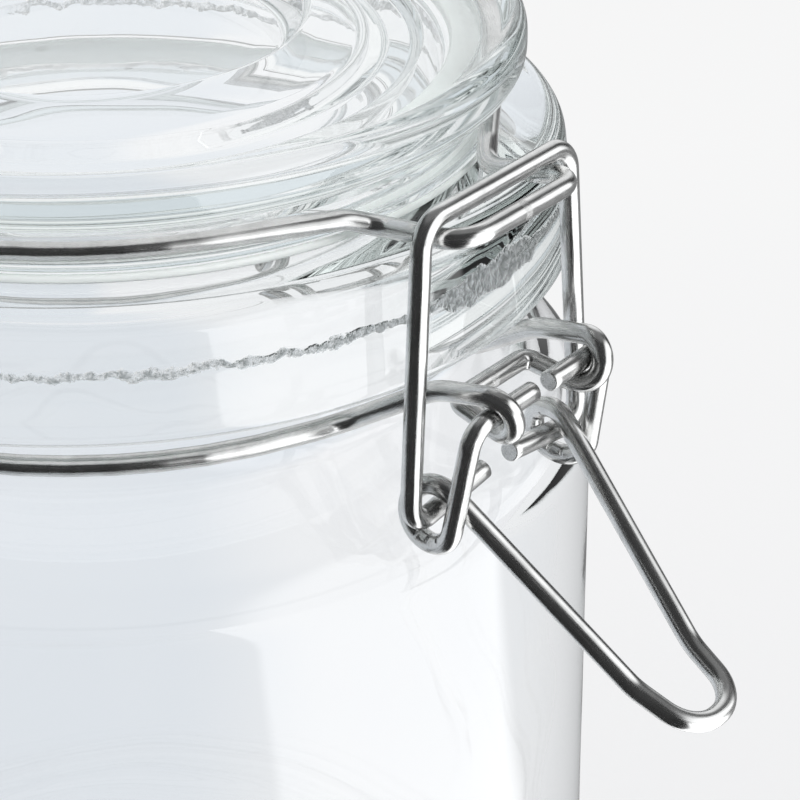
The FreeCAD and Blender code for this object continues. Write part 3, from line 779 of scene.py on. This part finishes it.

# %% What the camera and glass see on the table
# Painted shade: the glow the camera sees on the table is darker near the camera, #EDEDEF, and lightens to #F8F8F8
# far off.
away = add(tree, "ShaderNodeVectorMath", DOT, _0=place, _1=(0.8, 0.6, 0)).outputs["Value"]
painted_falloff = add(tree, "ShaderNodeMapRange", _0=away, _1=-120 * mm, _2=300 * mm, _3=0.0, _4=1.0).outputs[0]
pale = add(tree, "ShaderNodeMix", COLOURS, _0=painted_falloff, _6=linear("#EDEDEF"), _7=linear("#F8F8F8")).outputs[2]
# Painted shade, seen only through glass: left of the jar as the camera looks, the table is a darker blue-grey,
# #E3E8EE, and from 30 mm right of it a near white, #F3F4F6.
right = soft_edge(tree, place, (0.6, -0.8, 0), 0.0, 30 * mm)
painted_shade_through_glass = add(tree, "ShaderNodeMix", COLOURS, _0=right, _6=linear("#E3E8EE"), _7=linear("#F3F4F6")).outputs[2]
shown = add(tree, "ShaderNodeMix", COLOURS, _0=path["Is Transmission Ray"], _6=pale, _7=painted_shade_through_glass).outputs[2]
glow = add(tree, "ShaderNodeEmission", Color=shown, Strength=1.0)

# The camera sees 0.86 of the glow over the matt table, which keeps the jar's shadow.
seen = add(tree, "ShaderNodeMath", {"operation": "ADD", "use_clamp": True}, _0=path["Is Camera Ray"],
           _1=path["Is Transmission Ray"]).outputs[0]
share = add(tree, "ShaderNodeMix", NUMBERS, _0=path["Is Transmission Ray"], _2=0.86, _3=1.0).outputs[0]
share = add(tree, "ShaderNodeMath", MULTIPLY, _0=seen, _1=share).outputs[0]
matt = add(tree, "ShaderNodeBsdfDiffuse", Color=linear("#E8E8E8"))
surface = add(tree, "ShaderNodeMixShader", _0=path["Is Glossy Ray"], _1=matt.outputs[0], _2=glint.outputs[0])
surface = add(tree, "ShaderNodeMixShader", _0=share, _1=surface.outputs[0], _2=glow.outputs[0])
tree.links.new(surface.outputs[0], out.inputs["Surface"])
print("table: pale to the camera, cooler on the left through glass")

# %% [markdown]
# ### The room above the table
#
# The world is what lies past the table's edge. Reflections see a dark room with three soft lights. Glass bends
# some rays up to the horizon, and a narrow grey strip there draws the thin dark lines that show its shape.

# %% The room as reflections see it
world = bpy.data.worlds.new("studio")
bpy.context.scene.world = world
world.use_nodes = True
tree = world.node_tree
tree.nodes.clear()
toward = add(tree, "ShaderNodeTexCoord").outputs["Generated"]
path = add(tree, "ShaderNodeLightPath").outputs


def heading(azimuth, elevation):
    """The unit vector at this azimuth, in degrees from -Y towards +X, and this elevation."""
    a, e = math.radians(azimuth), math.radians(elevation)
    return (math.sin(a) * math.cos(e), -math.cos(a) * math.cos(e), math.sin(e))


def patch(level, azimuth, elevation, inner, outer, brightness):
    """Blends a patch of this brightness over level. It is full within inner degrees of its middle and gone
    by outer degrees: the share is a smooth step of the cosine between the direction and the middle."""
    share = soft_edge(tree, toward, heading(azimuth, elevation), math.cos(math.radians(outer)),
                      math.cos(math.radians(inner)))
    return add(tree, "ShaderNodeMix", NUMBERS, _0=share, _2=level, _3=brightness).outputs[0]


DARK_ROOM = 0.05
ceiling_light = (110, 75, 22, 45, 0.25)
side_light = (127, 24, 18, 40, 1.15)
front_light = (24, 4, 37, 50, 1.8)
room = DARK_ROOM
for light in (ceiling_light, side_light, front_light):
    room = patch(room, *light)
reflected = add(tree, "ShaderNodeBackground", Color=linear("#FAFBFC"), Strength=inside_glass(tree, path, room))
print("room: 3 soft lights over a dark level of %.2f" % DARK_ROOM)

# %% The room as glass, the camera and matt things see it
upward = add(tree, "ShaderNodeVectorMath", DOT, _0=toward, _1=(0, 0, 1)).outputs["Value"]
off = add(tree, "ShaderNodeMath", SUBTRACT, _0=upward, _1=0.06).outputs[0]
off = add(tree, "ShaderNodeMath", ABSOLUTE, _0=off).outputs[0]
open_room = add(tree, "ShaderNodeMapRange", SMOOTHSTEP, _0=off, _1=0.03, _2=0.09, _3=0.0, _4=1.0).outputs[0]
beyond = add(tree, "ShaderNodeMix", NUMBERS, _0=open_room, _2=0.25, _3=0.98).outputs[0]
through = add(tree, "ShaderNodeBackground", Color=linear("#FAFBFC"), Strength=beyond)
plain = add(tree, "ShaderNodeBackground", Color=linear("#F8F8F8"), Strength=1.0)
surface = add(tree, "ShaderNodeBackground", Color=linear("#F6F8FA"), Strength=0.75)
for ray, background in (("Is Glossy Ray", reflected), ("Is Transmission Ray", through), ("Is Camera Ray", plain)):
    surface = add(tree, "ShaderNodeMixShader", _0=path[ray], _1=surface.outputs[0], _2=background.outputs[0])
tree.links.new(surface.outputs[0], add(tree, "ShaderNodeOutputWorld").inputs["Surface"])
print("world: plain to the camera, 0.75 to matt surfaces")

# %% [markdown]
# ### The lamps
#
# Two soft square lamps shape what is matt and cast the shadow. They're hidden from reflections and from glass,
# because the card and the room already stand for them there, and twice would be too much.


# %% Two soft lamps
lit_place = Vector((0, -0.03, 0.11))


def softbox(name, azimuth, elevation, distance, size, watts):
    """A square lamp facing the clasp. Its place is the clasp's plus the distance along its heading."""
    out_from = Vector(heading(azimuth, elevation))
    lamp = bpy.data.objects.new(name, bpy.data.lights.new(name, "AREA"))
    lamp.data.shape, lamp.data.size, lamp.data.energy = "SQUARE", size, watts
    lamp.location = lit_place + out_from * distance
    lamp.rotation_euler = out_from.to_track_quat("Z", "Y").to_euler()
    lamp.visible_glossy = lamp.visible_transmission = False
    bpy.context.scene.collection.objects.link(lamp)
    print("%s: %d W at %.1f m" % (name, watts, distance))


softbox("window", -10, 35, 1.2, 0.5, 9)
softbox("fill", -120, 55, 1.4, 0.7, 4)

# %% [markdown]
# ## The camera
#
# A long lens close to the clasp, a little above it and to its left. Clear glass needs long light paths, because
# a ray crosses a dozen surfaces on its way through lid, seal, band and wall.

# %% The camera
camera_place = (-284.33 * mm, -258.66 * mm, 297.12 * mm)
camera_azimuth, camera_elevation = -53.17, 27.56
LIGHT_CROSSINGS = 16

camera = bpy.data.objects.new("camera", bpy.data.cameras.new("camera"))
camera.data.lens, camera.data.sensor_width = 157.5, 36
camera.location = camera_place
camera.rotation_euler = Vector(heading(camera_azimuth, camera_elevation)).to_track_quat("Z", "Y").to_euler()
camera.data.clip_start, camera.data.clip_end = 0.01, 50
bpy.context.scene.collection.objects.link(camera)
bpy.context.scene.camera = camera
bpy.context.scene.view_settings.view_transform = "Standard"
light_paths = bpy.context.scene.cycles
light_paths.max_bounces = light_paths.glossy_bounces = light_paths.transmission_bounces = LIGHT_CROSSINGS
print("camera: %.1f mm lens" % camera.data.lens)
